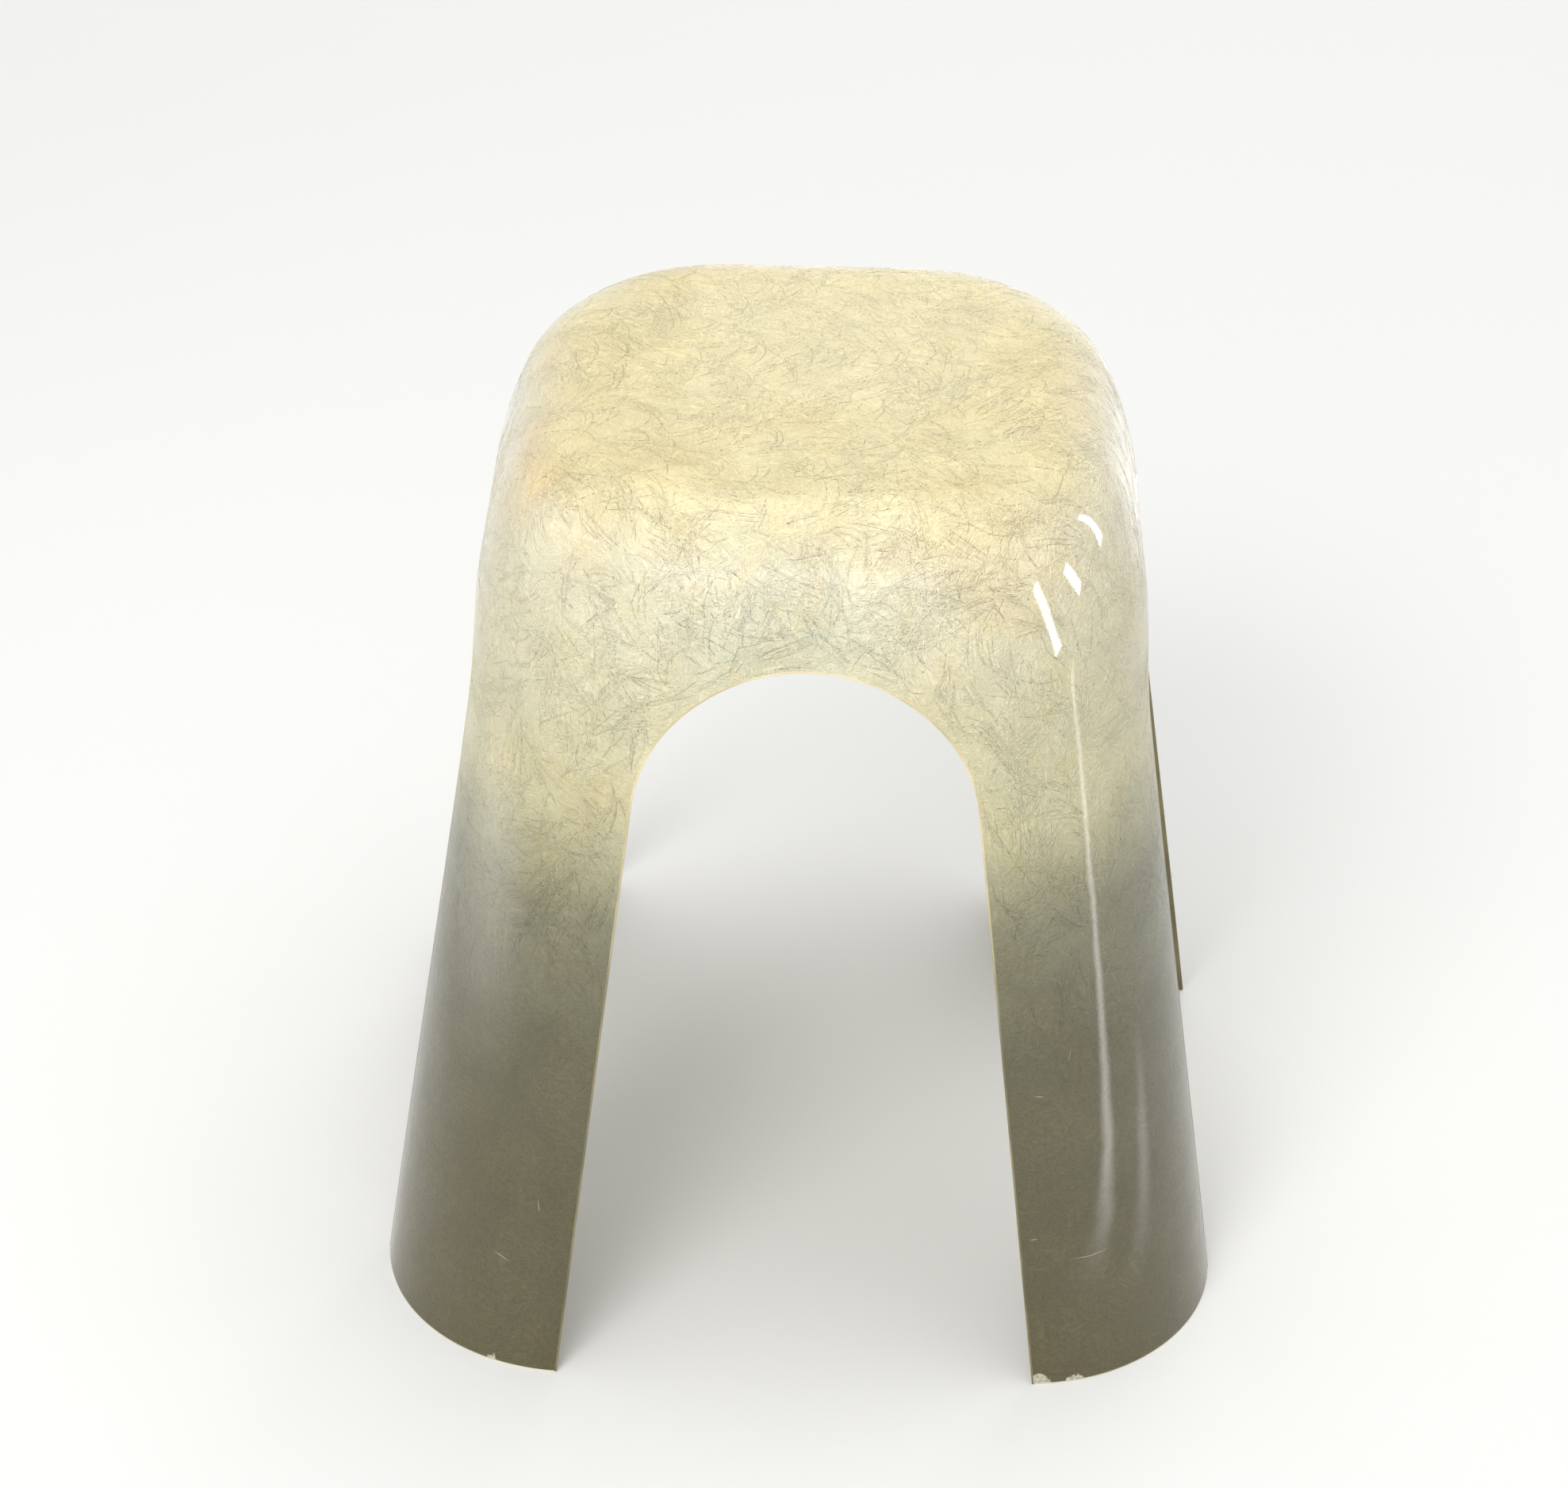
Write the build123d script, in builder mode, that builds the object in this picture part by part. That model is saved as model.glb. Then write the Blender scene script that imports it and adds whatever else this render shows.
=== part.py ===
# A moulded resin stool: one translucent shell of glass-fibre reinforced polyester.
# The level seat runs over a soft shoulder into four leaning walls, and an arch in each wall
# leaves four rounded legs. The shell is modelled as the layers that it is laid up from,
# with the resin that seals the sawn arch edges as ribbons of their own.
# The frame is in millimetres, +Z up, with its origin on the floor under the middle of the seat.
import os
from math import acos, atan, cos, hypot, radians, sin, tan

from build123d import *

# Outer form of the shell
foot_width = 420.0  # across two neighbouring feet, outside, at the floor
seat_height = 448.0
wall_lean = 7.8  # degrees that each wall leans inwards
foot_corner_radius = 98.0  # of the rounded corners of the plan, at the floor
seat_flat_run = 90.0  # straight part of each side of the plan, at the shoulder and above
corner_ease = 1.3  # power with which the straight part shortens up the wall
shoulder_radius = 210.0  # wide arc that leaves the wall
shoulder_turn = 15.5  # degrees that the wide arc turns through
rim_radius = 45.0  # tighter arc from there to the level seat

# Arch in each of the four walls
arch_foot_width = 235.0
arch_to_seat = 68.0  # from the top of the arch up to the seat
arch_radius = 81.0

# Layers of the shell from outside to inside, and the seal on the sawn arch edges
gel_thickness = 0.5
laminate_thickness = 2.9
flow_thickness = 0.4
seal_thickness = 0.4
edge_ease = 0.5  # how far the coats and the seal stop short of the floor at the sanded feet

overrun = 12.0  # how far cutting bodies and lofts run past what they cut
wall_shares = (0.0, 0.25, 0.5, 0.75, 1.0)  # where plans are taken up the wall

# The two arcs of the shoulder, in the upright plane through the middle of a wall
quarter_turn = 90.0
rim_turn = quarter_turn - wall_lean - shoulder_turn
lean = radians(wall_lean)
turned = radians(wall_lean + shoulder_turn)
shoulder_rise = shoulder_radius * (sin(turned) - sin(lean))
shoulder_height = seat_height - rim_radius * (1 - sin(turned)) - shoulder_rise
shoulder_half = foot_width / 2 - shoulder_height * tan(lean)
shoulder_centre_x = shoulder_half - shoulder_radius * cos(lean)
shoulder_centre_z = shoulder_height - shoulder_radius * sin(lean)
rim_centre_x = shoulder_centre_x + (shoulder_radius - rim_radius) * cos(turned)
rim_centre_z = shoulder_centre_z + (shoulder_radius - rim_radius) * sin(turned)

# Half of the straight part of each side of the plan
foot_flat_half = foot_width / 2 - foot_corner_radius
seat_flat_half = seat_flat_run / 2

# The arch: a round head, and straight sides that leave it at a tangent and spread to the floor
arch_centre_height = seat_height - arch_to_seat - arch_radius
arch_foot_half = arch_foot_width / 2
arch_spread = acos(arch_radius / hypot(arch_foot_half, arch_centre_height)) - atan(
    arch_centre_height / arch_foot_half
)

# How far inside the outer surface each layer starts
flow_inset = gel_thickness + laminate_thickness
inside_inset = flow_inset + flow_thickness

os.makedirs("parts", exist_ok=True)


def wall_plans(inset):
    """Level plans up the leaning walls, from below the floor to the foot of the shoulder."""
    top = shoulder_height - inset * sin(lean)
    plans = []
    for share in wall_shares:
        height = share * (top + overrun) - overrun
        half = foot_width / 2 - height * tan(lean) - inset / cos(lean)
        left_to_go = max(1 - height / top, 0) ** corner_ease
        straight_half = seat_flat_half + (foot_flat_half - seat_flat_half) * left_to_go
        with BuildSketch(Plane.XY.offset(height)) as plan:
            RectangleRounded(2 * half, 2 * half, half - straight_half)
        plans.append(plan.sketch)
    return plans


def shoulder_profile(plane, inset):
    """Upright profile of the shoulder, out from the axis of a rounded corner of its plan."""
    with BuildSketch(plane) as profile:
        with BuildLine():
            wide = CenterArc(
                (shoulder_centre_x - seat_flat_half, shoulder_centre_z),
                shoulder_radius - inset,
                wall_lean,
                shoulder_turn,
            )
            tight = CenterArc(
                (rim_centre_x - seat_flat_half, rim_centre_z),
                rim_radius - inset,
                wall_lean + shoulder_turn,
                rim_turn,
            )
            foot, top = wide @ 0, tight @ 1
            Polyline(top, (0, top.Y), (0, foot.Y), foot)
        make_face()
    return profile.sketch


def solid_form(inset):
    """The stool's outer form with no hollow, or the one that lies an inset inside it."""
    foot = shoulder_height - inset * sin(lean)
    with BuildPart() as form:
        loft(wall_plans(inset))
        with BuildSketch(Plane.XY.offset(foot)) as middle:
            Rectangle(seat_flat_run, seat_flat_run)
        extrude(middle.sketch, amount=seat_height - inset - foot)
        for x, y in ((1, 0), (0, 1), (-1, 0), (0, -1)):
            corner = ((x - y) * seat_flat_half, (x + y) * seat_flat_half, 0)
            upright = Plane(corner, x_dir=(x, y, 0), z_dir=(y, -x, 0))
            profile = shoulder_profile(upright, inset)
            extrude(profile, amount=seat_flat_run)
            revolve(profile, axis=Axis(corner, (0, 0, 1)), revolution_arc=quarter_turn)
    return form.part


def tunnels(margin):
    """The two crossing tunnels that join opposite arches, grown all round by a margin."""
    radius = arch_radius + margin
    spring_half = radius * cos(arch_spread)
    spring_height = arch_centre_height + radius * sin(arch_spread)
    low_half = spring_half + (spring_height + overrun) * tan(arch_spread)
    left, right = (-spring_half, spring_height), (spring_half, spring_height)
    with BuildPart() as crossing:
        for plane in (Plane.XZ, Plane.YZ):
            with BuildSketch(plane) as opening:
                with BuildLine():
                    Polyline(left, (-low_half, -overrun), (low_half, -overrun), right)
                    ThreePointArc(right, (0, arch_centre_height + radius), left)
                make_face()
            extrude(opening.sketch, amount=foot_width / 2 + overrun, both=True)
    return crossing.part


# The surfaces between the layers, as solid forms one inside the other
outer_form = solid_form(0)
laminate_form = solid_form(gel_thickness)
flow_form = solid_form(flow_inset)
inside_form = solid_form(inside_inset)

# The clear arches, and the wider sawn ones that the seal narrows again
clear_arches = tunnels(0)
sawn_arches = tunnels(seal_thickness)

# Gel coat: the clear, glossy skin that was laid in the mould first
with BuildPart() as gel_coat:
    add(outer_form)
    add(laminate_form, mode=Mode.SUBTRACT)
    add(sawn_arches, mode=Mode.SUBTRACT)
    split(bisect_by=Plane.XY.offset(edge_ease), keep=Keep.TOP)

# Laminate: chopped strand mat in resin, which carries the load and stands on the floor
with BuildPart() as mat_laminate:
    add(laminate_form)
    add(flow_form, mode=Mode.SUBTRACT)
    add(sawn_arches, mode=Mode.SUBTRACT)
    split(bisect_by=Plane.XY, keep=Keep.TOP)

# Flow coat: the thin coat of resin that was brushed on inside
with BuildPart() as flow_coat:
    add(flow_form)
    add(inside_form, mode=Mode.SUBTRACT)
    add(sawn_arches, mode=Mode.SUBTRACT)
    split(bisect_by=Plane.XY.offset(edge_ease), keep=Keep.TOP)

# Edge seal: four ribbons of resin across the whole thickness, one round each arch
with BuildPart() as edge_seal:
    add(outer_form)
    add(inside_form, mode=Mode.SUBTRACT)
    add(sawn_arches, mode=Mode.INTERSECT)
    add(clear_arches, mode=Mode.SUBTRACT)
    split(bisect_by=Plane.XY.offset(edge_ease), keep=Keep.TOP)

for label, piece in (
    ("gel_coat", gel_coat),
    ("mat_laminate", mat_laminate),
    ("flow_coat", flow_coat),
    ("edge_seal", edge_seal),
):
    piece.part.label = label
    export_step(piece.part, f"parts/{label}.step")
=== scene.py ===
import math

import bmesh
import bpy
import numpy as np
from mathutils import Matrix, Vector


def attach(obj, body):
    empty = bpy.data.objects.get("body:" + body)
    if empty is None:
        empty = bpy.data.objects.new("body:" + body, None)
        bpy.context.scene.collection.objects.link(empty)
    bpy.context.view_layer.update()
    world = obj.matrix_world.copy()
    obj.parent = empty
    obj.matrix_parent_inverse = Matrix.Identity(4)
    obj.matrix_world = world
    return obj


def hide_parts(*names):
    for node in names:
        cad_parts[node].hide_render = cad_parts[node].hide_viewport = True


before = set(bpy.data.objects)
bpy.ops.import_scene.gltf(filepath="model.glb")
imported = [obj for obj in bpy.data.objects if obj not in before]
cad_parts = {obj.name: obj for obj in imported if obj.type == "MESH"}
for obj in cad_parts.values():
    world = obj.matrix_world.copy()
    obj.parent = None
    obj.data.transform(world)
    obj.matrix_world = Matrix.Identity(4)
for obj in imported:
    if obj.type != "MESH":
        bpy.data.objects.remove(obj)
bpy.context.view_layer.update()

PER_METRE = 1000.0  # millimetres, in which everything is worked out

# The model's own sizes
FOOT_WIDTH, SEAT_HEIGHT = 420.0, 448.0
LEAN, TURN = math.radians(7.8), math.radians(15.5)
FOOT_FLAT, SEAT_FLAT, CORNER_EASE = 112.0, 45.0, 1.3
SHOULDER_RADIUS, RIM_RADIUS = 210.0, 45.0
ARCH_FOOT_HALF, ARCH_CENTRE, ARCH_RADIUS = 117.5, 299.0, 81.0
WALL, SEAL = 3.8, 0.4
SKIN = 0.22  # how far the visible skin lies inside the model's face, so that strands can stand proud
EVEN_STEP = 9.0  # over which the skin's normals are evened where its arcs join

TURNED = LEAN + TURN
SHOULDER_Z = (SEAT_HEIGHT - RIM_RADIUS * (1 - math.sin(TURNED))
              - SHOULDER_RADIUS * (math.sin(TURNED) - math.sin(LEAN)))
SHOULDER_HALF = FOOT_WIDTH / 2 - SHOULDER_Z * math.tan(LEAN)
WIDE = (SHOULDER_HALF - SHOULDER_RADIUS * math.cos(LEAN), SHOULDER_Z - SHOULDER_RADIUS * math.sin(LEAN))
TIGHT = (WIDE[0] + (SHOULDER_RADIUS - RIM_RADIUS) * math.cos(TURNED),
         WIDE[1] + (SHOULDER_RADIUS - RIM_RADIUS) * math.sin(TURNED))
SPREAD = (math.acos(ARCH_RADIUS / math.hypot(ARCH_FOOT_HALF, ARCH_CENTRE))
          - math.atan(ARCH_CENTRE / ARCH_FOOT_HALF))


# The form, as numbers

def half_width(z, inset):
    """Half width of the plan at each height, on a face that lies an inset inside the outer one."""
    z = np.asarray(z, float)
    wall = FOOT_WIDTH / 2 - z * math.tan(LEAN) - inset / math.cos(LEAN)
    wide = WIDE[0] + np.sqrt(np.maximum((SHOULDER_RADIUS - inset) ** 2 - (z - WIDE[1]) ** 2, 0))
    tight = TIGHT[0] + np.sqrt(np.maximum((RIM_RADIUS - inset) ** 2 - (z - TIGHT[1]) ** 2, 0))
    foot = SHOULDER_Z - inset * math.sin(LEAN)
    rim = WIDE[1] + (SHOULDER_RADIUS - inset) * math.sin(TURNED)
    return np.where(z <= foot, wall, np.where(z <= rim, wide, tight))


def straight_half(z, inset):
    """Half of the straight part of each side of the plan."""
    top = SHOULDER_Z - inset * math.sin(LEAN)
    return SEAT_FLAT + (FOOT_FLAT - SEAT_FLAT) * np.maximum(1 - np.asarray(z, float) / top, 0) ** CORNER_EASE


def arch_half(z, margin):
    """Half width of the arch at each height, grown by a margin."""
    radius = ARCH_RADIUS + margin
    spring = ARCH_CENTRE + radius * math.sin(SPREAD)
    z = np.asarray(z, float)
    side = radius * math.cos(SPREAD) + (spring - z) * math.tan(SPREAD)
    head = np.sqrt(np.maximum(radius ** 2 - (z - ARCH_CENTRE) ** 2, 0))
    return np.where(z < spring, side, head)


def side_point(share, z, inset):
    """Points on the front side: share runs from 0 at its middle to 1 at the corner's diagonal."""
    half, flat = half_width(z, inset), straight_half(z, inset)
    radius = half - flat
    along = np.abs(share) * (flat + radius * math.pi / 4)
    turn = np.maximum(along - flat, 0) / radius
    x = np.where(along <= flat, along, flat + radius * np.sin(turn))
    y = np.where(along <= flat, -half, -(flat + radius * np.cos(turn)))
    return np.stack([np.sign(share) * x, y, np.broadcast_to(z, x.shape)], -1)


def arch_share(z, margin, inset):
    """The share at which the arch's edge lies."""
    half, flat = half_width(z, inset), straight_half(z, inset)
    radius = half - flat
    x = arch_half(z, margin)
    along = np.where(x <= flat, x, flat + radius * np.arcsin(np.clip((x - flat) / radius, -1, 1)))
    return along / (flat + radius * math.pi / 4)


def depth(p):
    """Distance of points outside the outer face (negative inside)."""
    q = np.abs(p[:, :2])
    z = p[:, 2]
    flat = straight_half(z, 0)
    over = q - flat[:, None]
    out = (np.hypot(np.maximum(over[:, 0], 0), np.maximum(over[:, 1], 0))
           + np.minimum(np.maximum(over[:, 0], over[:, 1]), 0)) + flat
    wide = np.arctan2(z - WIDE[1], out - WIDE[0])
    tight = np.arctan2(z - TIGHT[1], out - TIGHT[0])
    wall = (out - FOOT_WIDTH / 2 + z * math.tan(LEAN)) * math.cos(LEAN)
    return np.where(wide < LEAN, wall, np.where(
        wide < TURNED, np.hypot(z - WIDE[1], out - WIDE[0]) - SHOULDER_RADIUS, np.where(
            tight < math.pi / 2, np.hypot(z - TIGHT[1], out - TIGHT[0]) - RIM_RADIUS, z - SEAT_HEIGHT)))


def normals(p, step=0.05):
    """Normals of the outer face; a longer step evens out the joins between its arcs."""
    grad = np.stack([depth(p + step * axis) - depth(p - step * axis) for axis in np.eye(3)], -1)
    return grad / np.maximum(np.linalg.norm(grad, axis=1, keepdims=True), 1e-9)


def on_skin(p):
    """Points moved onto the outer face."""
    return p - depth(p)[:, None] * normals(p)


def in_arch(p, margin):
    """Whether points lie in one of the two crossing tunnels, grown by a margin."""
    opening = arch_half(p[:, 2], margin)
    low = p[:, 2] < ARCH_CENTRE + ARCH_RADIUS + margin
    return low & ((np.abs(p[:, 0]) < opening) | (np.abs(p[:, 1]) < opening))


# Meshes

def turned(points, side):
    """Points of the front side carried round to another side, 0 to 3."""
    c, s = [(1, 0), (0, 1), (-1, 0), (0, -1)][side]
    x, y, z = points[..., 0], points[..., 1], points[..., 2]
    return np.stack([c * x - s * y, s * x + c * y, z], -1)


def mirrored(points):
    """Points of the right half of the front side carried to its left half."""
    return points * np.array([-1.0, 1.0, 1.0])


class Build:
    """Collects grids of points as one mesh."""

    def __init__(self):
        self.points, self.faces, self.slots, self.count = [], [], [], 0

    def grid(self, rows, slot=0, flip=False):
        """Adds rows of points as quads with the material in a slot."""
        rows = np.asarray(rows)
        n, m = rows.shape[:2]
        index = self.count + np.arange(n * m).reshape(n, m)
        self.points.append(rows.reshape(-1, 3))
        self.count += n * m
        quads = np.stack([index[:-1, :-1], index[:-1, 1:], index[1:, 1:], index[1:, :-1]], -1).reshape(-1, 4)
        if flip:
            quads = quads[:, ::-1]
        self.faces.append(quads)
        self.slots.append(np.full(len(quads), slot))

    def make(self, name, materials, weld=0.002):
        """Makes the object; points nearer than weld become one, and faces that close up go."""
        mesh = bpy.data.meshes.new(name)
        points = np.concatenate(self.points) / PER_METRE
        quads = np.concatenate(self.faces)
        slots = np.concatenate(self.slots)
        if weld:
            key = np.round(points * PER_METRE / weld).astype(np.int64)
            _, first, same = np.unique(key, axis=0, return_index=True, return_inverse=True)
            same = same.reshape(-1)
            points, quads = points[first], same[quads]
        faces, kept = [], []
        for quad, slot in zip(quads.tolist(), slots.tolist()):
            loop = [v for k, v in enumerate(quad) if v != quad[k - 1]]
            if len(set(loop)) == len(loop) and len(loop) > 2:
                faces.append(loop)
                kept.append(slot)
        mesh.from_pydata(points.tolist(), [], faces)
        for material in materials:
            mesh.materials.append(material)
        mesh.polygons.foreach_set("material_index", kept)
        mesh.polygons.foreach_set("use_smooth", [True] * len(faces))
        mesh.update()
        if weld:
            whole = bmesh.new()
            whole.from_mesh(mesh)
            bmesh.ops.recalc_face_normals(whole, faces=whole.faces)
            whole.to_mesh(mesh)
            whole.free()
        thing = bpy.data.objects.new(name, mesh)
        bpy.context.scene.collection.objects.link(thing)
        return thing


def even_normals(mesh):
    """Shades the two broad faces by evened normals, and the cut edges between them flat."""
    points = np.empty(3 * len(mesh.vertices))
    mesh.vertices.foreach_get("co", points)
    vertex, sizes, slots = (np.empty(len(items), int) for items in (mesh.loops, mesh.polygons, mesh.polygons))
    mesh.loops.foreach_get("vertex_index", vertex)
    mesh.polygons.foreach_get("loop_total", sizes)
    mesh.polygons.foreach_get("material_index", slots)
    facing = np.empty(3 * len(mesh.polygons))
    mesh.polygons.foreach_get("normal", facing)
    even = normals(points.reshape(-1, 3) * PER_METRE, EVEN_STEP)[vertex]
    facing, slots = np.repeat(facing.reshape(-1, 3), sizes, 0), np.repeat(slots, sizes)[:, None]
    chosen = np.where(slots == 0, even, np.where(slots == 1, -even, facing))
    mesh.normals_split_custom_set(chosen.tolist())


STRAIGHT_ROWS, HEAD_ROWS, ACROSS = 84, 44, 26  # of half a side's panel, beside and above the arch
SHOULDER_ROWS, RIM_ROWS, SEAT_ROWS = 7, 30, 26
RING_Z = 400.0  # where the panel with the arch ends and level rings begin
CORNER_ROW = 18  # rows of the arch's head whose grid lines end on the corner's diagonal
CORNER_Z = 318.0  # where the first of those rows ends
TO_EDGE, TO_FOOT = 1.25, 1.15  # powers that draw grid lines closer at the arch's edge and the feet


def across_shares():
    """Where grid lines lie between the arch's edge and the corner's diagonal."""
    return np.linspace(0, 1, ACROSS) ** TO_EDGE


def panel(inset, margin, start):
    """Half of one side from a start height to the ring, as a grid from the arch's edge outwards."""
    radius = ARCH_RADIUS + margin
    spring = ARCH_CENTRE + radius * math.sin(SPREAD)
    z_low = start + (spring - start) * np.linspace(0, 1, STRAIGHT_ROWS, endpoint=False) ** TO_FOOT
    go = np.linspace(0, 1, HEAD_ROWS)
    z_head = ARCH_CENTRE + radius * np.sin(SPREAD + go * (math.pi / 2 - SPREAD))
    z_in = np.concatenate([z_low, z_head])
    share_in = arch_share(z_in, margin, inset)
    share_in[-1] = 0
    head = np.arange(HEAD_ROWS)
    up = np.clip(head / CORNER_ROW, 0, 1)
    z_out = np.concatenate([start + (z_low - start) * (CORNER_Z - start) / (spring - start),
                            CORNER_Z + (RING_Z - CORNER_Z) * up])
    over = np.clip((head - CORNER_ROW) / (HEAD_ROWS - 1 - CORNER_ROW), 0, 1)
    share_out = np.concatenate([np.ones(STRAIGHT_ROWS), 1 - over])
    t = across_shares()[None, :]
    share = share_in[:, None] * (1 - t) + share_out[:, None] * t
    z = z_in[:, None] * (1 - t) + z_out[:, None] * t
    return side_point(share, z, inset), 1 - over[CORNER_ROW:]


def top_rings(shares, inset):
    """Half of one side above the ring: over the shoulder and rim to the middle of the seat."""
    rim = WIDE[1] + (SHOULDER_RADIUS - inset) * math.sin(TURNED)
    rows = [side_point(shares, np.full(shares.shape, z), inset)
            for z in np.linspace(RING_Z, rim, SHOULDER_ROWS)[:-1]]
    for turn in np.linspace(TURNED, math.pi / 2, RIM_ROWS):
        half = TIGHT[0] + (RIM_RADIUS - inset) * math.cos(turn)
        z = TIGHT[1] + (RIM_RADIUS - inset) * math.sin(turn)
        radius = half - SEAT_FLAT
        along = shares * (SEAT_FLAT + radius * math.pi / 4)
        angle = np.maximum(along - SEAT_FLAT, 0) / radius
        x = np.where(along <= SEAT_FLAT, along, SEAT_FLAT + radius * np.sin(angle))
        y = np.where(along <= SEAT_FLAT, -half, -(SEAT_FLAT + radius * np.cos(angle)))
        rows.append(np.stack([x, y, np.full(x.shape, z)], -1))
    edge = rows[-1]
    for scale in np.linspace(1, 0, SEAT_ROWS)[1:]:
        rows.append(np.stack([edge[:, 0] * scale, edge[:, 1] * scale, edge[:, 2]], -1))
    return np.array(rows)


EASE = 0.9  # height at which the outer face turns under at the sanded feet
SEAL_START = 0.5  # height at which the seal on the arch edges starts
CUT = SEAL + 0.004  # margin of the shell's own cut edges, just clear of the seal


def skin(build, inset, slot, outward):
    """One whole face of the shell, from the four feet to the seat."""
    half_panel, shares = panel(inset, CUT, EASE)
    cap = top_rings(shares, inset)
    for side in range(4):
        for rows, flip in ((half_panel, outward), (cap, not outward)):
            build.grid(turned(rows, side), slot, flip)
            build.grid(turned(mirrored(rows), side), slot, not flip)
    return half_panel


def foot_line(z, inset):
    """A line round half of a foot, at a height and an inset."""
    first = arch_share(np.array([z]), CUT, inset)[0]
    return side_point(first + (1 - first) * across_shares(), np.full(ACROSS, float(z)), inset)


def strip(build, lines, slot, flip):
    """A band along one edge of the half panel, carried to all eight places."""
    rows = np.array(lines)
    for side in range(4):
        build.grid(turned(rows, side), slot, flip)
        build.grid(turned(mirrored(rows), side), slot, not flip)


# Materials

def colour(r, g, b):
    """A colour given as it looks on a screen, 0 to 255, as the linear values that nodes take."""
    def linear(v):
        v /= 255.0
        return v / 12.92 if v <= 0.04045 else ((v + 0.055) / 1.055) ** 2.4
    return (linear(r), linear(g), linear(b), 1.0)


def plain(name, rgb, roughness):
    """A material of one colour."""
    material = bpy.data.materials.new(name)
    material.use_nodes = True
    bsdf = material.node_tree.nodes["Principled BSDF"]
    bsdf.inputs["Base Color"].default_value = rgb
    bsdf.inputs["Roughness"].default_value = roughness
    return material


def node(tree, kind, inputs=None, **settings):
    """Adds a node; inputs are values or the sockets to link from."""
    made = tree.nodes.new(kind)
    for key, value in settings.items():
        setattr(made, key, value)
    for key, value in (inputs or {}).items():
        if isinstance(value, bpy.types.NodeSocket):
            tree.links.new(value, made.inputs[key])
        else:
            made.inputs[key].default_value = value
    return made


def sums(tree, operation, *values):
    """The result of a sum with numbers or sockets."""
    return node(tree, "ShaderNodeMath", dict(enumerate(values)), operation=operation).outputs[0]


def vector(tree, operation, first, second):
    """The result of a sum with vectors; second is a number or socket when operation is SCALE."""
    inputs = {0: first, "Scale" if operation == "SCALE" else 1: second}
    return node(tree, "ShaderNodeVectorMath", inputs, operation=operation).outputs[0]


def most(tree, values):
    """The greatest of several sockets."""
    greatest = values[0]
    for value in values[1:]:
        greatest = sums(tree, "MAXIMUM", greatest, value)
    return greatest


def band(tree, value, low, high, to_low=0.0, to_high=1.0, smooth=True):
    """Carries a value from one range to another, held at both ends."""
    made = node(tree, "ShaderNodeMapRange", {"Value": value, "From Min": low, "From Max": high,
                                             "To Min": to_low, "To Max": to_high},
                interpolation_type="SMOOTHSTEP" if smooth else "LINEAR")
    return made.outputs[0]


def noise(tree, place, scale, detail=2.0, roughness=0.5, output="Fac"):
    """Random values in space."""
    inputs = {"Vector": place, "Scale": scale, "Detail": detail, "Roughness": roughness}
    return node(tree, "ShaderNodeTexNoise", inputs).outputs[output]


def shifted(tree, where, scale, detail, roughness, reach):
    """Places moved about at random, by up to half the reach each way."""
    push = noise(tree, where, scale, detail, roughness, "Color")
    push = vector(tree, "SUBTRACT", push, (0.5, 0.5, 0.5))
    return vector(tree, "ADD", where, vector(tree, "SCALE", push, reach))


def tint(tree, share, below, above, blend="MIX"):
    """Mixes two colours, each a value or a socket."""
    return node(tree, "ShaderNodeMix", {0: share, 6: below, 7: above}, data_type="RGBA",
                blend_type=blend).outputs[2]


def wash(tree, shade, share, rgb):
    """Multiplies a colour by another, as far as share says."""
    return tint(tree, share, shade, (*rgb, 1.0), "MULTIPLY")


def bump(tree, height, strength, distance, base=None):
    """A normal that follows a height, on top of a base normal; distance is in metres."""
    inputs = {"Height": height, "Strength": strength, "Distance": distance}
    if base is not None:
        inputs["Normal"] = base
    return node(tree, "ShaderNodeBump", inputs).outputs[0]


def spot(tree, where, centre, radius, soft):
    """1 near a place on the object, in millimetres, and 0 away from it."""
    away = node(tree, "ShaderNodeVectorMath", {0: where, 1: centre}, operation="DISTANCE").outputs["Value"]
    return band(tree, away, radius + soft, radius - soft)


def object_place(tree):
    """Places on the object, in millimetres."""
    return vector(tree, "SCALE", node(tree, "ShaderNodeTexCoord").outputs["Object"], PER_METRE)


def by_height(tree, where, stops):
    """A colour that changes with height; stops are shares of the seat's height with their colours."""
    height = node(tree, "ShaderNodeSeparateXYZ", {0: where}).outputs["Z"]
    ramp = node(tree, "ShaderNodeValToRGB", {0: band(tree, height, 0.0, SEAT_HEIGHT, smooth=False)})
    ramp.color_ramp.elements.remove(ramp.color_ramp.elements[1])
    for k, (at, rgb) in enumerate(stops):
        stop = ramp.color_ramp.elements[0] if k == 0 else ramp.color_ramp.elements.new(at)
        stop.position, stop.color = at, colour(*rgb)
    return ramp.outputs[0]


# Cream at the seat, its cream lighter at the shoulder by a painted highlight band, and greyer and darker down
# the legs: a painted shade, as if a dark floor showed through the resin
RESIN_AND_PAINTED_SHADE_STOPS = ((0.0, (93, 86, 50)), (0.2, (90, 84, 50)), (0.4, (99, 96, 67)), (0.55, (138, 136, 107)),
               (0.67, (218, 211, 170)), (0.8, (232, 224, 187)), (0.9, (245, 237, 204)),
               (0.96, (247, 237, 201)), (1.0, (238, 225, 173)))
# The seal's colour, darker down the legs by the same painted shade as the resin
SEAL_AND_PAINTED_SHADE_STOPS = ((0.0, (124, 115, 82)), (0.4, (134, 126, 94)), (0.55, (172, 163, 130)),
              (0.67, (218, 202, 158)), (1.0, (226, 208, 160)))
SANDED_STOPS = ((0.0, (222, 214, 184)),)
SCRATCHED_STOPS = ((0.0, (186, 180, 152)),)
TRAPPED_STOPS = ((0.0, (176, 152, 104)),)
DIRT, CHIP_LOW, CHIP_HIGH = colour(120, 100, 66), colour(186, 180, 152), colour(228, 225, 208)

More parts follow.
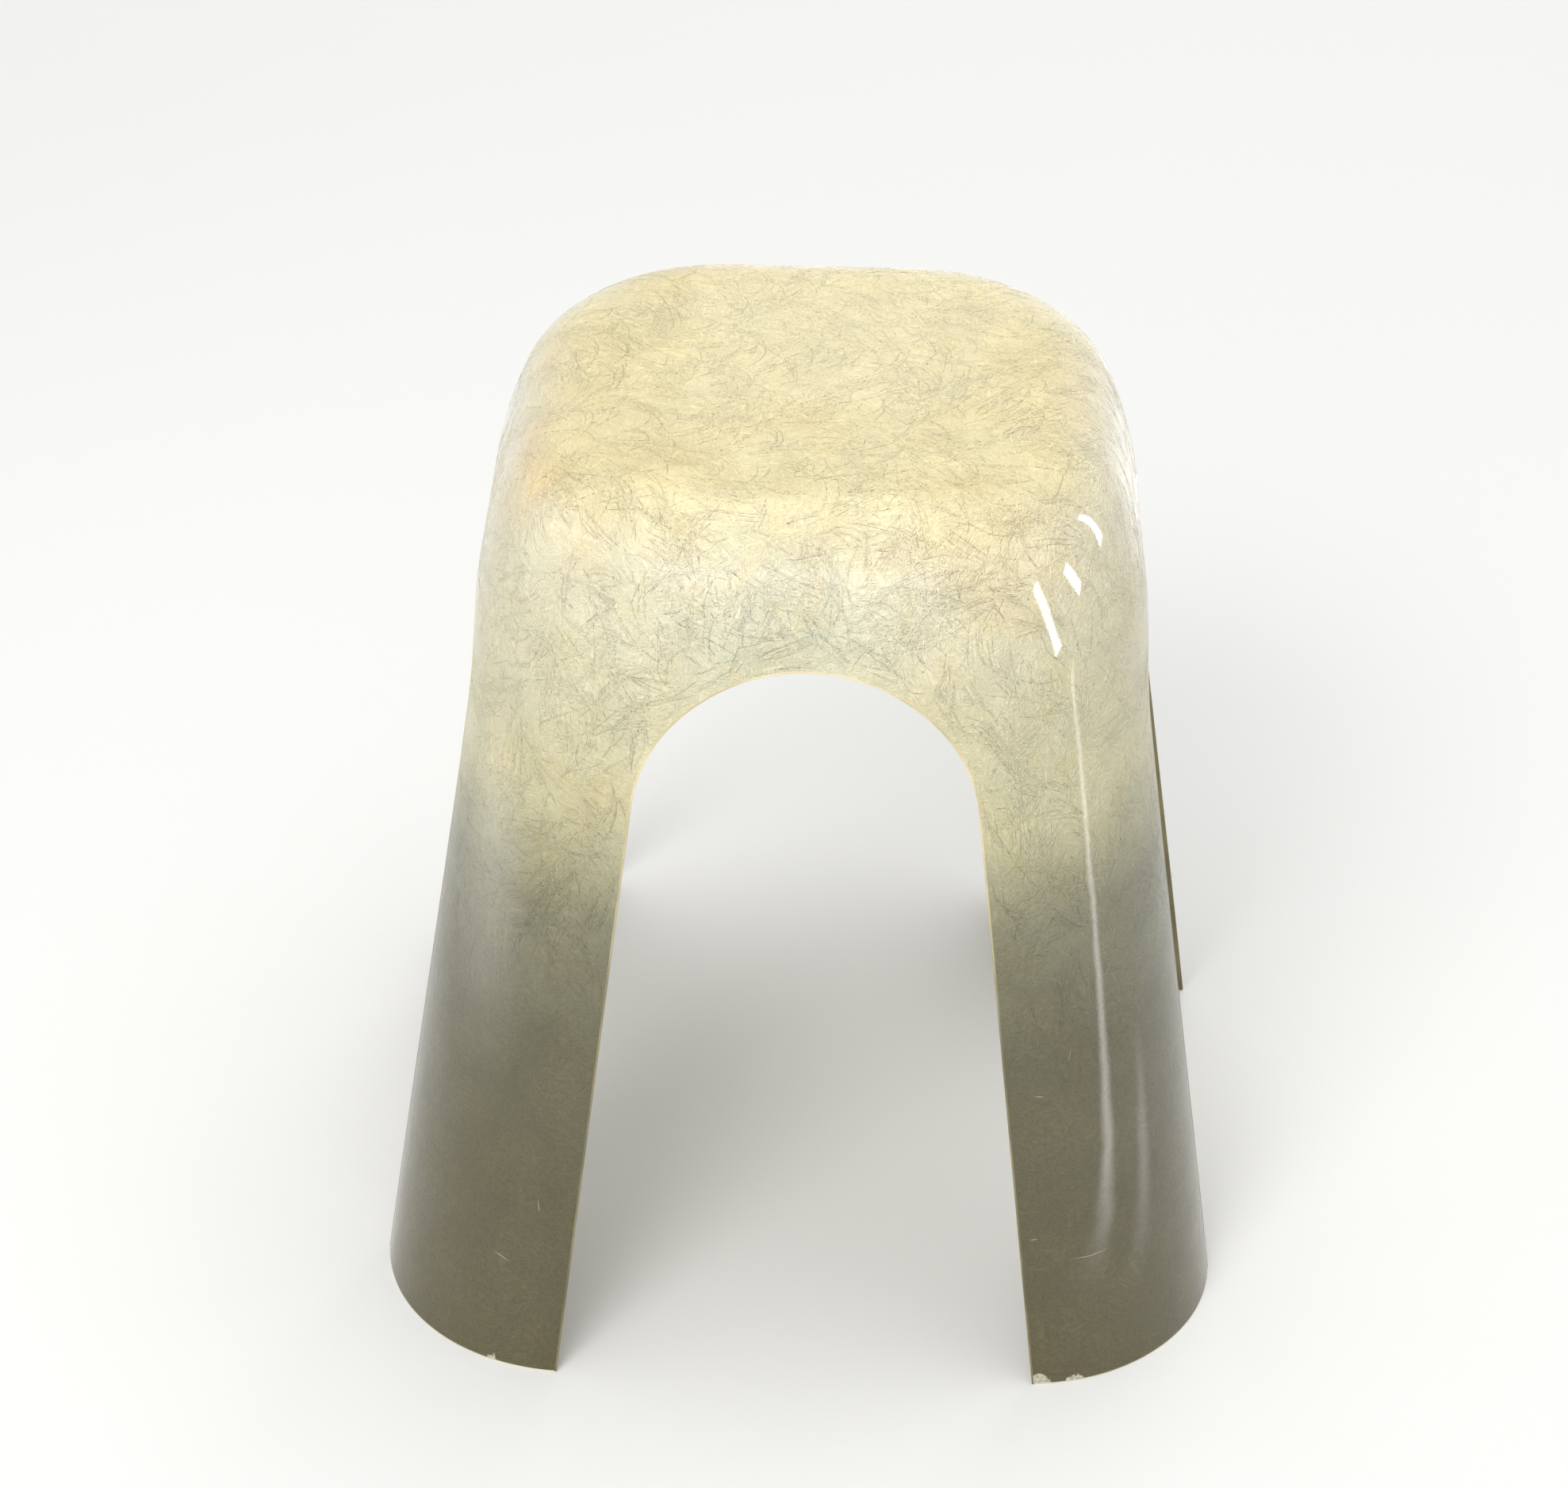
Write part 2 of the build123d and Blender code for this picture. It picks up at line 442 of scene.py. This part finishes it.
FIBRE_WAYS = ((0, 0, 0), (0, 0, 1.57), (0, 1.45, 0.2), (0, 0, 0.8), (0, 0, -0.75), (0, 0.75, 0.1),
              (0, -0.8, 1.5))
FIBRE_STRETCH = (19.0, 1.25, 1.25)  # millimetres
CHIPS = (((121.5, -209, 0.5), 5.4), ((138.3, -206, -0.8), 4.3), ((-150, -201.5, -0.5), 2.8))
PINK_AT, AMBER_AT, BLUE_AT = (-125, -80, 432), ((-112, 15, 444), (115, 20, 444)), (-12, -152, 398)
RELIEF, RIDGE, RIPPLE = 0.0004, 0.00034, 0.00006  # heights in metres


def resin(name, roughness, coat, strand=False):
    """The fibre-filled resin of the shell's faces or of the raised strands."""
    material = bpy.data.materials.new(name)
    material.use_nodes = True
    tree = material.node_tree
    bsdf = tree.nodes["Principled BSDF"]
    where = object_place(tree)
    height = node(tree, "ShaderNodeSeparateXYZ", {0: where}).outputs["Z"]

    # Swirled fibres: thin stretched noise along several ways at once
    bent = shifted(tree, where, 0.022, 1.0, 0.5, 38.0)
    lines = []
    for k, way in enumerate(FIBRE_WAYS):
        along = node(tree, "ShaderNodeMapping", {"Vector": bent, "Location": (31.0 * k, 17.0 * k, 0),
                                                 "Rotation": way, "Scale": FIBRE_STRETCH},
                     vector_type="TEXTURE").outputs[0]
        lines.append(band(tree, noise(tree, along, 1.0, 1.0), 0.52, 0.76))
    fibres = most(tree, lines)

    # Broad and small patches of warmer and cooler resin
    broad = noise(tree, where, 0.012)
    cloud = noise(tree, bent, 0.045, 3.0, 0.6)
    mottle = noise(tree, bent, 0.22, 2.0, 0.6)
    # Painted shade darkens the legs towards the feet, and a painted highlight lightens the band at the
    # shoulder
    shade = by_height(tree, where, RESIN_AND_PAINTED_SHADE_STOPS)
    shade = wash(tree, shade, band(tree, broad, 0.48, 0.72, 0.0, 0.7), (0.98, 0.92, 0.8))
    shade = wash(tree, shade, band(tree, cloud, 0.5, 0.75, 0.0, 0.8), (0.92, 0.95, 0.96))
    shade = wash(tree, shade, band(tree, cloud, 0.48, 0.28, 0.0, 0.7), (1.0, 0.97, 0.86))
    shade = wash(tree, shade, band(tree, mottle, 0.4, 0.7, 0.0, 0.5), (0.92, 0.92, 0.88))

    # Tinted places: pink on the left shoulder, amber at both ends of the seat, blue over the arch
    pink = sums(tree, "MULTIPLY", spot(tree, where, PINK_AT, 45, 42), band(tree, broad, 0.35, 0.6))
    shade = wash(tree, shade, pink, (1.0, 0.91, 0.8))
    amber = most(tree, [spot(tree, where, centre, 38, 42) for centre in AMBER_AT])
    shade = wash(tree, shade, sums(tree, "MULTIPLY", amber, 0.8), (0.97, 0.93, 0.84))
    blue = sums(tree, "MULTIPLY", spot(tree, where, BLUE_AT, 34, 30), band(tree, cloud, 0.3, 0.6))
    shade = wash(tree, shade, blue, (0.9, 0.96, 1.02))

    # Fibres scatter light, and fine grain and flecks liven the surface
    scatter = sums(tree, "MULTIPLY", fibres, band(tree, height, 120.0, 300.0, 0.3, 0.12))
    bright = sums(tree, "ADD", scatter, 0.98)
    grain = noise(tree, where, 1.0, 3.0, 0.7)
    flecks = noise(tree, vector(tree, "MULTIPLY", bent, (0.4, 0.4, 1.4)), 0.8, 2.0, 0.6)
    grain = band(tree, grain, 0.3, 0.7, -1.0, 1.0)
    flecks = band(tree, flecks, 0.38, 0.62, -1.0, 1.0)
    lively = sums(tree, "ADD", grain, flecks)
    lively = sums(tree, "MULTIPLY", lively, band(tree, height, 140.0, 290.0, 0.07, 0.035))
    bright = sums(tree, "MULTIPLY", bright, sums(tree, "ADD", lively, 1.0))
    if strand:
        # Strands scatter a little more light; a painted shade darkens their edges where they meet the skin,
        # and a painted highlight lightens their crowns
        tone = node(tree, "ShaderNodeAttribute", attribute_name="tone").outputs["Fac"]
        crown = node(tree, "ShaderNodeAttribute", attribute_name="crown").outputs["Fac"]
        tone, rise = band(tree, tone, 0.1, 0.5, 0.94, 1.05), band(tree, crown, 0.0, 1.0, 0.94, 1.04)
        bright = sums(tree, "MULTIPLY", bright, sums(tree, "MULTIPLY", tone, rise))
    shade = vector(tree, "SCALE", shade, bright)

    # Specks of dirt caught in the resin, and whitened chips at two feet
    cells = node(tree, "ShaderNodeTexVoronoi", {"Vector": where, "Scale": 0.06})
    speck = sums(tree, "MULTIPLY", band(tree, cells.outputs["Distance"], 0.05, 0.025), 0.6)
    shade = tint(tree, speck, shade, DIRT)
    jagged = shifted(tree, where, 0.3, 3.0, 0.6, 9.0)
    chips = most(tree, [spot(tree, jagged, centre, radius, 0.7) for centre, radius in CHIPS])
    chipped = tint(tree, band(tree, noise(tree, where, 0.8), 0.4, 0.6), CHIP_LOW, CHIP_HIGH)
    shade = tint(tree, chips, shade, chipped)
    tree.links.new(shade, bsdf.inputs["Base Color"])

    rough = band(tree, cloud, 0.3, 0.7, roughness - 0.05, roughness + 0.08)
    tree.links.new(rough, bsdf.inputs["Roughness"])
    for socket, value in (("IOR", 1.5), ("Specular IOR Level", 0.2), ("Transmission Weight", 0.2),
                          ("Coat Weight", coat), ("Coat Roughness", 0.04), ("Coat IOR", 1.5)):
        bsdf.inputs[socket].default_value = value

    # The fibres' relief, and a clear coat that ripples less than what lies under it
    ridge = bump(tree, band(tree, crown, 0.0, 1.0), 1.0, RIDGE) if strand else None
    tree.links.new(bump(tree, fibres, 1.0, RELIEF, ridge), bsdf.inputs["Normal"])
    waves = sums(tree, "MULTIPLY", noise(tree, bent, 0.05, 0.0), 2.5)
    print_through = sums(tree, "ADD", waves, sums(tree, "MULTIPLY", fibres, 0.05))
    even = None
    if strand:
        even = node(tree, "ShaderNodeAttribute", attribute_name="skin_normal").outputs["Vector"]
    tree.links.new(bump(tree, print_through, 0.5, RIPPLE, even), bsdf.inputs["Coat Normal"])
    return material


def bare_resin(name, stops, roughness, grain):
    """Resin with no fibres at its surface: brushed or sanded edges, and marks."""
    first = colour(*stops[0][1])
    material = plain(name, first, roughness)
    tree = material.node_tree
    bsdf = tree.nodes["Principled BSDF"]
    where = object_place(tree)
    lively = band(tree, noise(tree, where, 0.03, 3.0), 0.35, 0.65, 0.8, 1.18)
    even = by_height(tree, where, stops) if len(stops) > 1 else first[:3]
    tree.links.new(vector(tree, "SCALE", even, lively), bsdf.inputs["Base Color"])
    bsdf.inputs["Specular IOR Level"].default_value = 0.3
    tree.links.new(bump(tree, noise(tree, where, grain), 0.4, 0.0001), bsdf.inputs["Normal"])
    return material


outer_resin = resin("outer_resin", 0.38, 1.0)
inner_resin = resin("inner_resin", 0.45, 0.3)
strand_resin = resin("strand_resin", 0.38, 1.0, strand=True)
sanded_edge = bare_resin("sanded_edge", SANDED_STOPS, 0.65, 2.5)
seal_resin = bare_resin("seal_resin", SEAL_AND_PAINTED_SHADE_STOPS, 0.3, 0.6)
scratched_resin = bare_resin("scratched_resin", SCRATCHED_STOPS, 0.6, 2.0)
trapped_fibre = bare_resin("trapped_fibre", TRAPPED_STOPS, 0.4, 1.0)

# The shell: its outer and inner face, the edges cut round the arches, and the sanded feet
build = Build()
outside = skin(build, SKIN, 0, True)
inside = skin(build, WALL, 1, False)
strip(build, [outside[:, 0], inside[:, 0]], 2, True)
foot = [outside[0], foot_line(0.3, SKIN + 0.25), foot_line(0.0, SKIN + 0.75),
        foot_line(0.0, WALL - 0.6), foot_line(0.3, WALL - 0.2), inside[0]]
strip(build, foot, 2, False)
ends = np.array([line[0] for line in foot])
lid = ends[[0, 0, 0, 5, 5, 5]]  # the straight edge between the two faces, which closes each foot's end
strip(build, np.stack([ends, lid]), 2, False)
shell = build.make("shell", [outer_resin, inner_resin, sanded_edge])
even_normals(shell.data)
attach(shell, "root")
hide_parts("gel_coat", "mat_laminate", "flow_coat")

# The resin brushed on the sawn arch edges: a ribbon with rounded corners, as insets and margins
quarter = np.linspace(0, math.pi / 2, 5)
profile = [(SKIN + 0.03, 1.05), (SKIN - 0.07, 0.9), (SKIN - 0.1, 0.65), (SKIN - 0.05, 0.3),
           (SKIN + 0.1, 0.1), (SKIN + 0.4, 0.0)]
profile += [(WALL - SEAL * (1 - math.cos(t)), SEAL * (1 - math.sin(t))) for t in quarter[::-1]]
profile += [(SKIN + 0.03, SEAL), profile[0]]
lines = np.array([panel(inset, margin, SEAL_START)[0][:, 0] for inset, margin in profile])
build = Build()
strip(build, lines, 0, True)
start = lines[:, :1]
strip(build, np.concatenate([start, np.broadcast_to(start.mean(0), start.shape)], 1), 0, False)
seal = build.make("arch_seal", [seal_resin])
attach(seal, "root")
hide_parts("edge_seal")

# Strands that print through the skin
STRANDS, POINTS, TO_TUFT = 15000, 7, 3  # how many, points along each, and strands in each tuft
LENGTHS, HALF_WIDTHS, RISE = (12, 42), (0.32, 0.68), 0.2
CLEAR_OF_ARCH, CLEAR_OF_FLOOR = 1.4, 2.5
FAINT_BELOW, FAINT_OVER = 110, 130  # strands fade in over this much height
DIVIDE_AT = 300.0  # height at which the strands are divided into two pieces
rng = np.random.default_rng(11)


def wavy(p, seed, scale, count=7, spread=2.6):
    """Smooth random values in space, about -1 to 1: the sum of a few plane waves, over its spread."""
    waves = np.random.default_rng(seed)
    total = np.zeros(len(p))
    for _ in range(count):
        way = waves.normal(size=3)
        way /= np.linalg.norm(way)
        total += np.sin(p @ way * 2 * math.pi / (scale * waves.uniform(0.7, 1.5)) + waves.uniform(0, 6.3))
    return total / spread


def seeds(count):
    """Points spread evenly over the outer face."""
    half_panel, shares = panel(0, SEAL, EASE)
    corners = []
    for rows in (half_panel, top_rings(shares, 0)):
        around = np.stack([rows[:-1, :-1], rows[:-1, 1:], rows[1:, :-1], rows[1:, 1:]], 2)
        corners.append(around.reshape(-1, 4, 3))
    corners = np.concatenate(corners)
    area = np.linalg.norm(np.cross(corners[:, 1] - corners[:, 0], corners[:, 2] - corners[:, 0]), axis=1)
    area += np.linalg.norm(np.cross(corners[:, 1] - corners[:, 3], corners[:, 2] - corners[:, 3]), axis=1)
    pick = rng.choice(len(corners), count, p=area / area.sum())
    u, v = rng.random((2, count, 1))
    quad = corners[pick]
    p = (quad[:, 0] * (1 - u) + quad[:, 1] * u) * (1 - v) + (quad[:, 2] * (1 - u) + quad[:, 3] * u) * v
    p[:, 0] *= rng.choice([-1, 1], count)
    side = rng.integers(0, 4, count)
    return np.stack([turned(p, k) for k in range(4)])[side, np.arange(count)]


def strands():
    """Strands as ribbons that follow the skin: low in the middle of the legs, fuller higher up."""
    tufts = seeds(STRANDS // TO_TUFT)
    p = np.repeat(tufts, TO_TUFT, 0)
    n = normals(p)

    # Ways: level on the walls and across the seat, turned by slow swirls, by tuft and by strand
    level_way = np.cross(n, (0, 0, 1.0)) + 1e-6
    on_seat = np.abs(n[:, 2]) > 0.8
    level_way = np.where(on_seat[:, None], np.array([1.0, 0, 0]), level_way)
    level_way /= np.linalg.norm(level_way, axis=1, keepdims=True)
    spread = np.where(on_seat, 0.35, 0.45)
    angle = 2.6 * wavy(p, 5, 100) * np.where(on_seat, 0.25, 1)
    angle += np.repeat(rng.normal(size=len(tufts)), TO_TUFT) * spread
    angle += rng.normal(size=len(p)) * 0.1
    way = level_way * np.cos(angle)[:, None] + np.cross(n, level_way) * np.sin(angle)[:, None]

    # The strands of a tuft lie side by side, and share its length and curl
    side = np.cross(n, way)
    p = p + side * (np.tile([-1, 0, 1], len(tufts)) * rng.uniform(1.0, 2.0, len(p)))[:, None]
    p += way * rng.normal(size=(len(p), 1)) * 4
    length = np.repeat(rng.uniform(*LENGTHS, len(tufts)), TO_TUFT) * rng.uniform(0.6, 1.1, len(p))
    curl = np.repeat(rng.normal(size=len(tufts)) / 30, TO_TUFT) + rng.normal(size=len(p)) / 120
    kink = rng.normal(size=len(p)) / 40
    width = rng.uniform(*HALF_WIDTHS, len(p)) * np.where(on_seat, 0.9, 1)
    strength = np.where(on_seat, 1.0, np.clip((p[:, 2] - FAINT_BELOW) / FAINT_OVER, 0.15, 1))
    strength *= rng.uniform(0.5, 1.0, len(p))
    stretch = length / (POINTS - 1)
    points, ups, ways = [], [], []
    for k in range(POINTS):
        p = on_skin(p)
        n = normals(p)
        way = way - (way * n).sum(1, keepdims=True) * n
        way /= np.linalg.norm(way, axis=1, keepdims=True)
        points.append(p), ups.append(n), ways.append(way)
        bend = (curl + kink * math.sin(k * 1.7)) * stretch
        way = way * np.cos(bend)[:, None] + np.cross(n, way) * np.sin(bend)[:, None]
        p = p + way * stretch[:, None]
    points, ups, ways = (np.stack(v, 1) for v in (points, ups, ways))

    # Only strands that lie wholly on the shell stay
    flat_points = points.reshape(-1, 3)
    clear = ~in_arch(flat_points, CLEAR_OF_ARCH) & (flat_points[:, 2] > CLEAR_OF_FLOOR)
    clear = clear.reshape(points.shape[:2]).all(1)
    points, ups, ways, width, strength = (v[clear] for v in (points, ups, ways, width, strength))

    # Ribbons three points wide: both sides under the skin, and a crown that tapers at both ends
    taper = np.sin(np.linspace(0, math.pi, POINTS)) ** 0.5
    taper[[0, -1]] = 0.05
    side = np.cross(ups, ways) * (width[:, None] * taper)[:, :, None]
    rise = (RISE * strength[:, None] * taper)[:, :, None]
    sunk = points - ups * (SKIN + 0.02)
    ribbons = np.stack([sunk - side, points - ups * SKIN + ups * rise, sunk + side], 2)
    # The crown value lifts the ridge bump, and also sets the painted shade at a strand's edges and the
    # painted highlight on its crown
    edge = np.broadcast_to(1 - strength[:, None], points.shape[:2])
    even = normals(points.reshape(-1, 3), EVEN_STEP).reshape(points.shape)
    return ribbons, np.repeat(even[:, :, None], 3, 2), np.stack([edge, np.ones(edge.shape), edge], 2)


ribbons, evened, crowns = strands()
tones = np.broadcast_to(rng.random(len(ribbons))[:, None, None], crowns.shape)
high = ribbons[:, 0, 0, 2] > DIVIDE_AT
for name, chosen in (("strands_high", high), ("strands_low", ~high)):
    build = Build()
    flat = ribbons[chosen].reshape(-1, 3)
    index = np.arange(len(flat)).reshape(-1, *ribbons.shape[1:3])
    quads = np.stack([index[:, :-1, :-1], index[:, 1:, :-1], index[:, 1:, 1:], index[:, :-1, 1:]], -1)
    quads = quads.reshape(-1, 4)
    build.points, build.faces, build.slots = [flat], [quads], [np.zeros(len(quads), int)]
    fibres = build.make(name, [strand_resin], weld=0)
    for label, kind, field, values in (("tone", "FLOAT", "value", tones), ("crown", "FLOAT", "value", crowns),
                                       ("skin_normal", "FLOAT_VECTOR", "vector", evened)):
        carried = fibres.data.attributes.new(label, kind, "POINT")
        carried.data.foreach_set(field, values[chosen].reshape(-1))
    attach(fibres, "root")

# Marks of use: scratches, and single fibres or an oval trapped in the resin, as points in millimetres
SCRATCHES = (
    ((133, -194, 68), (143, -190, 67), (153, -184, 67.5)), ((113, -197, 82), (117, -196, 82)),
    ((112, -182, 159), (117, -181, 158)), ((129, -170, 180), (128.5, -173, 172)),
    ((-150, -190, 60), (-141, -195, 57)), ((-128, -196, 96), (-126, -194, 88)),
    ((196, 120, 52), (194, 131, 55)), ((190, 96, 92), (189, 101, 90)),
    ((-196, 118, 70), (-193, 127, 72)), ((130, 196, 60), (139, 191, 62), (148, 188, 61)),
    ((-120, 198, 48), (-128, 196, 51)), ((60, -30, 448), (71, -26, 448), (80, -25, 448)),
    ((-40, 42, 448), (-28, 46, 448)), ((-70, -10, 448), (-66, -19, 448)))
OVAL = [(35 + 4.2 * math.cos(t) + 1.5 * math.sin(t), -136 - 1.2 * math.sin(t), 434 + 2.6 * math.sin(t))
        for t in np.linspace(0, 2 * math.pi, 12)]
TRAPPED = (
    OVAL, ((-62, -151, 403), (-57, -152, 400), (-50, -152, 399)),
    ((-40, -142, 426), (-35, -143, 424), (-31, -144, 421)),
    ((82, -142, 409), (86, -142, 406), (89, -142, 401)),
    ((40, 150, 402), (47, 150, 399), (52, 150, 400)), ((152, 30, 398), (152, 36, 400), (151, 41, 404)),
    ((-152, -20, 401), (-152, -14, 397), (-152, -9, 396)))


def mark(build, points, half_wide, slot):
    """A thin line on the skin through a few points, tapering at both ends."""
    points = np.array(points, float)
    along = np.linspace(0, len(points) - 1, 4 * len(points))
    p = np.stack([np.interp(along, np.arange(len(points)), points[:, k]) for k in range(3)], 1)
    for _ in range(3):
        p = on_skin(p)
    n = normals(p)
    side = np.cross(n, np.gradient(p, axis=0))
    taper = 0.15 + np.sin(np.linspace(0, math.pi, len(p)))[:, None]
    side *= half_wide * taper / np.linalg.norm(side, axis=1, keepdims=True)
    under = p - n * (SKIN + 0.01)
    build.grid(np.stack([under - side, p - n * (SKIN - 0.06), under + side], 1), slot, flip=True)


build = Build()
for slot, (half_wide, kind) in enumerate(((0.16, SCRATCHES), (0.3, TRAPPED))):
    for points in kind:
        mark(build, points, half_wide, slot)
marks = build.make("marks", [scratched_resin, trapped_fibre], weld=0)
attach(marks, "root")

# Stage: a pale floor that fades into one even background past the object's shadow
REACH = 12.0
FADE_FROM, FADE_TO = 1.0, 2.4
PALE, DAYLIGHT = 0.92, 0.55  # the background's level as it is seen, and as it lights things
floor_mesh = bpy.data.meshes.new("floor")
floor_mesh.from_pydata([(-REACH, -REACH, 0), (REACH, -REACH, 0), (REACH, REACH, 0), (-REACH, REACH, 0)],
                       [], [(0, 1, 2, 3)])
pale_floor = plain("pale_floor", colour(232, 232, 230), 0.7)
pale_floor.node_tree.nodes["Principled BSDF"].inputs["Specular IOR Level"].default_value = 0.0
floor_mesh.materials.append(pale_floor)
floor = bpy.data.objects.new("floor", floor_mesh)
bpy.context.scene.collection.objects.link(floor)


def seen(tree):
    """1 for rays from the camera, mirrored or passing through, and 0 for those that light things."""
    path = node(tree, "ShaderNodeLightPath").outputs
    return most(tree, [path["Is Camera Ray"], path["Is Transmission Ray"], path["Is Glossy Ray"]])


tree = pale_floor.node_tree
place = node(tree, "ShaderNodeTexCoord").outputs["Object"]
away = node(tree, "ShaderNodeVectorMath", {0: place}, operation="LENGTH").outputs["Value"]
share = sums(tree, "MULTIPLY", band(tree, away, FADE_FROM, FADE_TO), seen(tree))
even = node(tree, "ShaderNodeEmission", {"Color": (PALE, PALE, PALE, 1.0)}).outputs[0]
lit = tree.nodes["Principled BSDF"].outputs[0]
mixed = node(tree, "ShaderNodeMixShader", {0: share, 1: lit, 2: even}).outputs[0]
tree.links.new(mixed, tree.nodes["Material Output"].inputs["Surface"])

world = bpy.data.worlds.new("studio")
bpy.context.scene.world = world
world.use_nodes = True
tree = world.node_tree
tree.nodes["Background"].inputs["Color"].default_value = (1, 1, 1, 1)
level = band(tree, seen(tree), 0.0, 1.0, DAYLIGHT, PALE)
tree.links.new(level, tree.nodes["Background"].inputs["Strength"])


def softbox(name, place, aim, size, glow, up=(0, 0, 1), soft=(0.1, 0.1), in_gloss=True, lights=True):
    """A soft lamp with a given brightness. soft fades its edges, as shares of its half sizes;
    in_gloss says whether gloss shows it, and lights whether it lights the object."""
    data = bpy.data.lights.new(name, "AREA")
    data.shape = "RECTANGLE"
    data.size, data.size_y = size
    data.energy = glow * math.pi * size[0] * size[1]
    data.use_nodes = True
    tree = data.node_tree
    spread = node(tree, "ShaderNodeNewGeometry").outputs["Parametric"]
    spread = node(tree, "ShaderNodeSeparateXYZ", {0: spread}).outputs
    fades = []
    for axis in (0, 1):
        off = sums(tree, "ABSOLUTE", sums(tree, "SUBTRACT", spread[axis], 0.5))
        fades.append(band(tree, off, 0.5, 0.5 - 0.5 * soft[axis]))
    tree.links.new(sums(tree, "MULTIPLY", *fades), tree.nodes["Emission"].inputs["Strength"])
    lamp = bpy.data.objects.new(name, data)
    back = (Vector(place) - Vector(aim)).normalized()
    side = Vector(up).cross(back).normalized()
    turn = Matrix((side, back.cross(side), back)).transposed().to_4x4()
    lamp.matrix_world = Matrix.Translation(Vector(place)) @ turn
    lamp.visible_camera = False
    lamp.visible_glossy, lamp.visible_diffuse = in_gloss, lights
    bpy.context.scene.collection.objects.link(lamp)


def heading(azimuth, elevation):
    """A direction: azimuth runs from the front round to the right."""
    a, e = math.radians(azimuth), math.radians(elevation)
    return Vector((math.sin(a) * math.cos(e), -math.cos(a) * math.cos(e), math.sin(e)))


WINDOW_GLOW = 13
FLOOR_PATCH_Z = 0.006


def window(name, seen_from, top, bottom, width, distance):
    """A bright panel that the shoulder mirrors, from one direction down to another."""
    seen_from = Vector(seen_from) / PER_METRE
    high, low = (seen_from + heading(*way) * (distance / math.cos(math.radians(way[1])))
                 for way in (top, bottom))
    size = (width, (high - low).length)
    softbox(name, (high + low) / 2, seen_from, size, WINDOW_GLOW, up=high - low, lights=False)


def floor_patch(name, x, y, size, glow, up=(0, 1, 0), soft=(1.0, 1.0)):
    """A bright patch of floor that the legs mirror."""
    softbox(name, (x, y, FLOOR_PATCH_Z), (x, y, 1), size, glow, up=up, soft=soft, lights=False)


# Lights in metres, and bright things that only gloss shows
softbox("ceiling", (0.3, 0.4, 2.9), (0, 0, 0.3), (4.8, 4.8), 2.2, up=(0, 1, 0), soft=(1.0, 1.0))
softbox("key", (-1.0, -2.1, 2.7), (0, 0, 0.35), (2.2, 1.5), 10.5, soft=(0.8, 0.8), in_gloss=False)
softbox("fill", (-0.7, -3.2, 1.6), (0, 0, 0.35), (5.6, 2.3), 3.0, soft=(1.0, 1.0))
softbox("back", (0.9, 3.0, 2.0), (0, 0, 0.3), (4.0, 2.4), 1.6, soft=(0.8, 0.8), in_gloss=False)
window("window_a", (108, -133, 397), (64.6, 5.5), (74, -15), 0.105, 1.35)
window("window_b", (120, -117, 409), (83.4, 2.1), (90.4, -6.3), 0.105, 1.5)
window("window_c", (128, -97, 424), (106.5, 18.5), (112.8, -7.3), 0.125, 1.6)
softbox("pale_wall", (0.37, 0.68, 0.25), (0.37, 0, 0.25), (0.94, 1.3), 0.32, soft=(0.03, 0.12), lights=False)
floor_patch("floor_glow", 0.8, -0.288, (1.2, 0.075), 4.5, soft=(0.5, 1.0))
floor_patch("floor_sheen", 0.425, -0.15, (0.42, 0.07), 1.5, up=(-0.377, 0.926, 0))
floor_patch("floor_left", -0.8, -0.1, (0.62, 0.8), 1.5)

# The camera that was fitted to the photograph
FOCAL_PIXELS, PICTURE_PIXELS, SENSOR_WIDTH = 5237.962, 1977, 36.0
CAMERA_AT = (0.01862, -1.74570, 1.39693)
PITCH, ROLL, YAW = (math.radians(v) for v in (33.602, -0.816, -1.044))
camera_data = bpy.data.cameras.new("camera")
camera_data.sensor_width = SENSOR_WIDTH
camera_data.lens = FOCAL_PIXELS / PICTURE_PIXELS * SENSOR_WIDTH
camera_data.clip_end = 50.0
camera = bpy.data.objects.new("camera", camera_data)
bpy.context.scene.collection.objects.link(camera)
ahead = Vector((math.sin(YAW) * math.cos(PITCH), math.cos(YAW) * math.cos(PITCH), -math.sin(PITCH)))
right = Vector((math.cos(YAW), -math.sin(YAW), 0))
down = ahead.cross(right)
right, down = (right * math.cos(ROLL) + down * math.sin(ROLL), down * math.cos(ROLL) - right * math.sin(ROLL))
turn = Matrix((right, -down, -ahead)).transposed().to_4x4()
camera.matrix_world = Matrix.Translation(Vector(CAMERA_AT)) @ turn
bpy.context.scene.camera = camera
bpy.context.scene.view_settings.view_transform = "Standard"
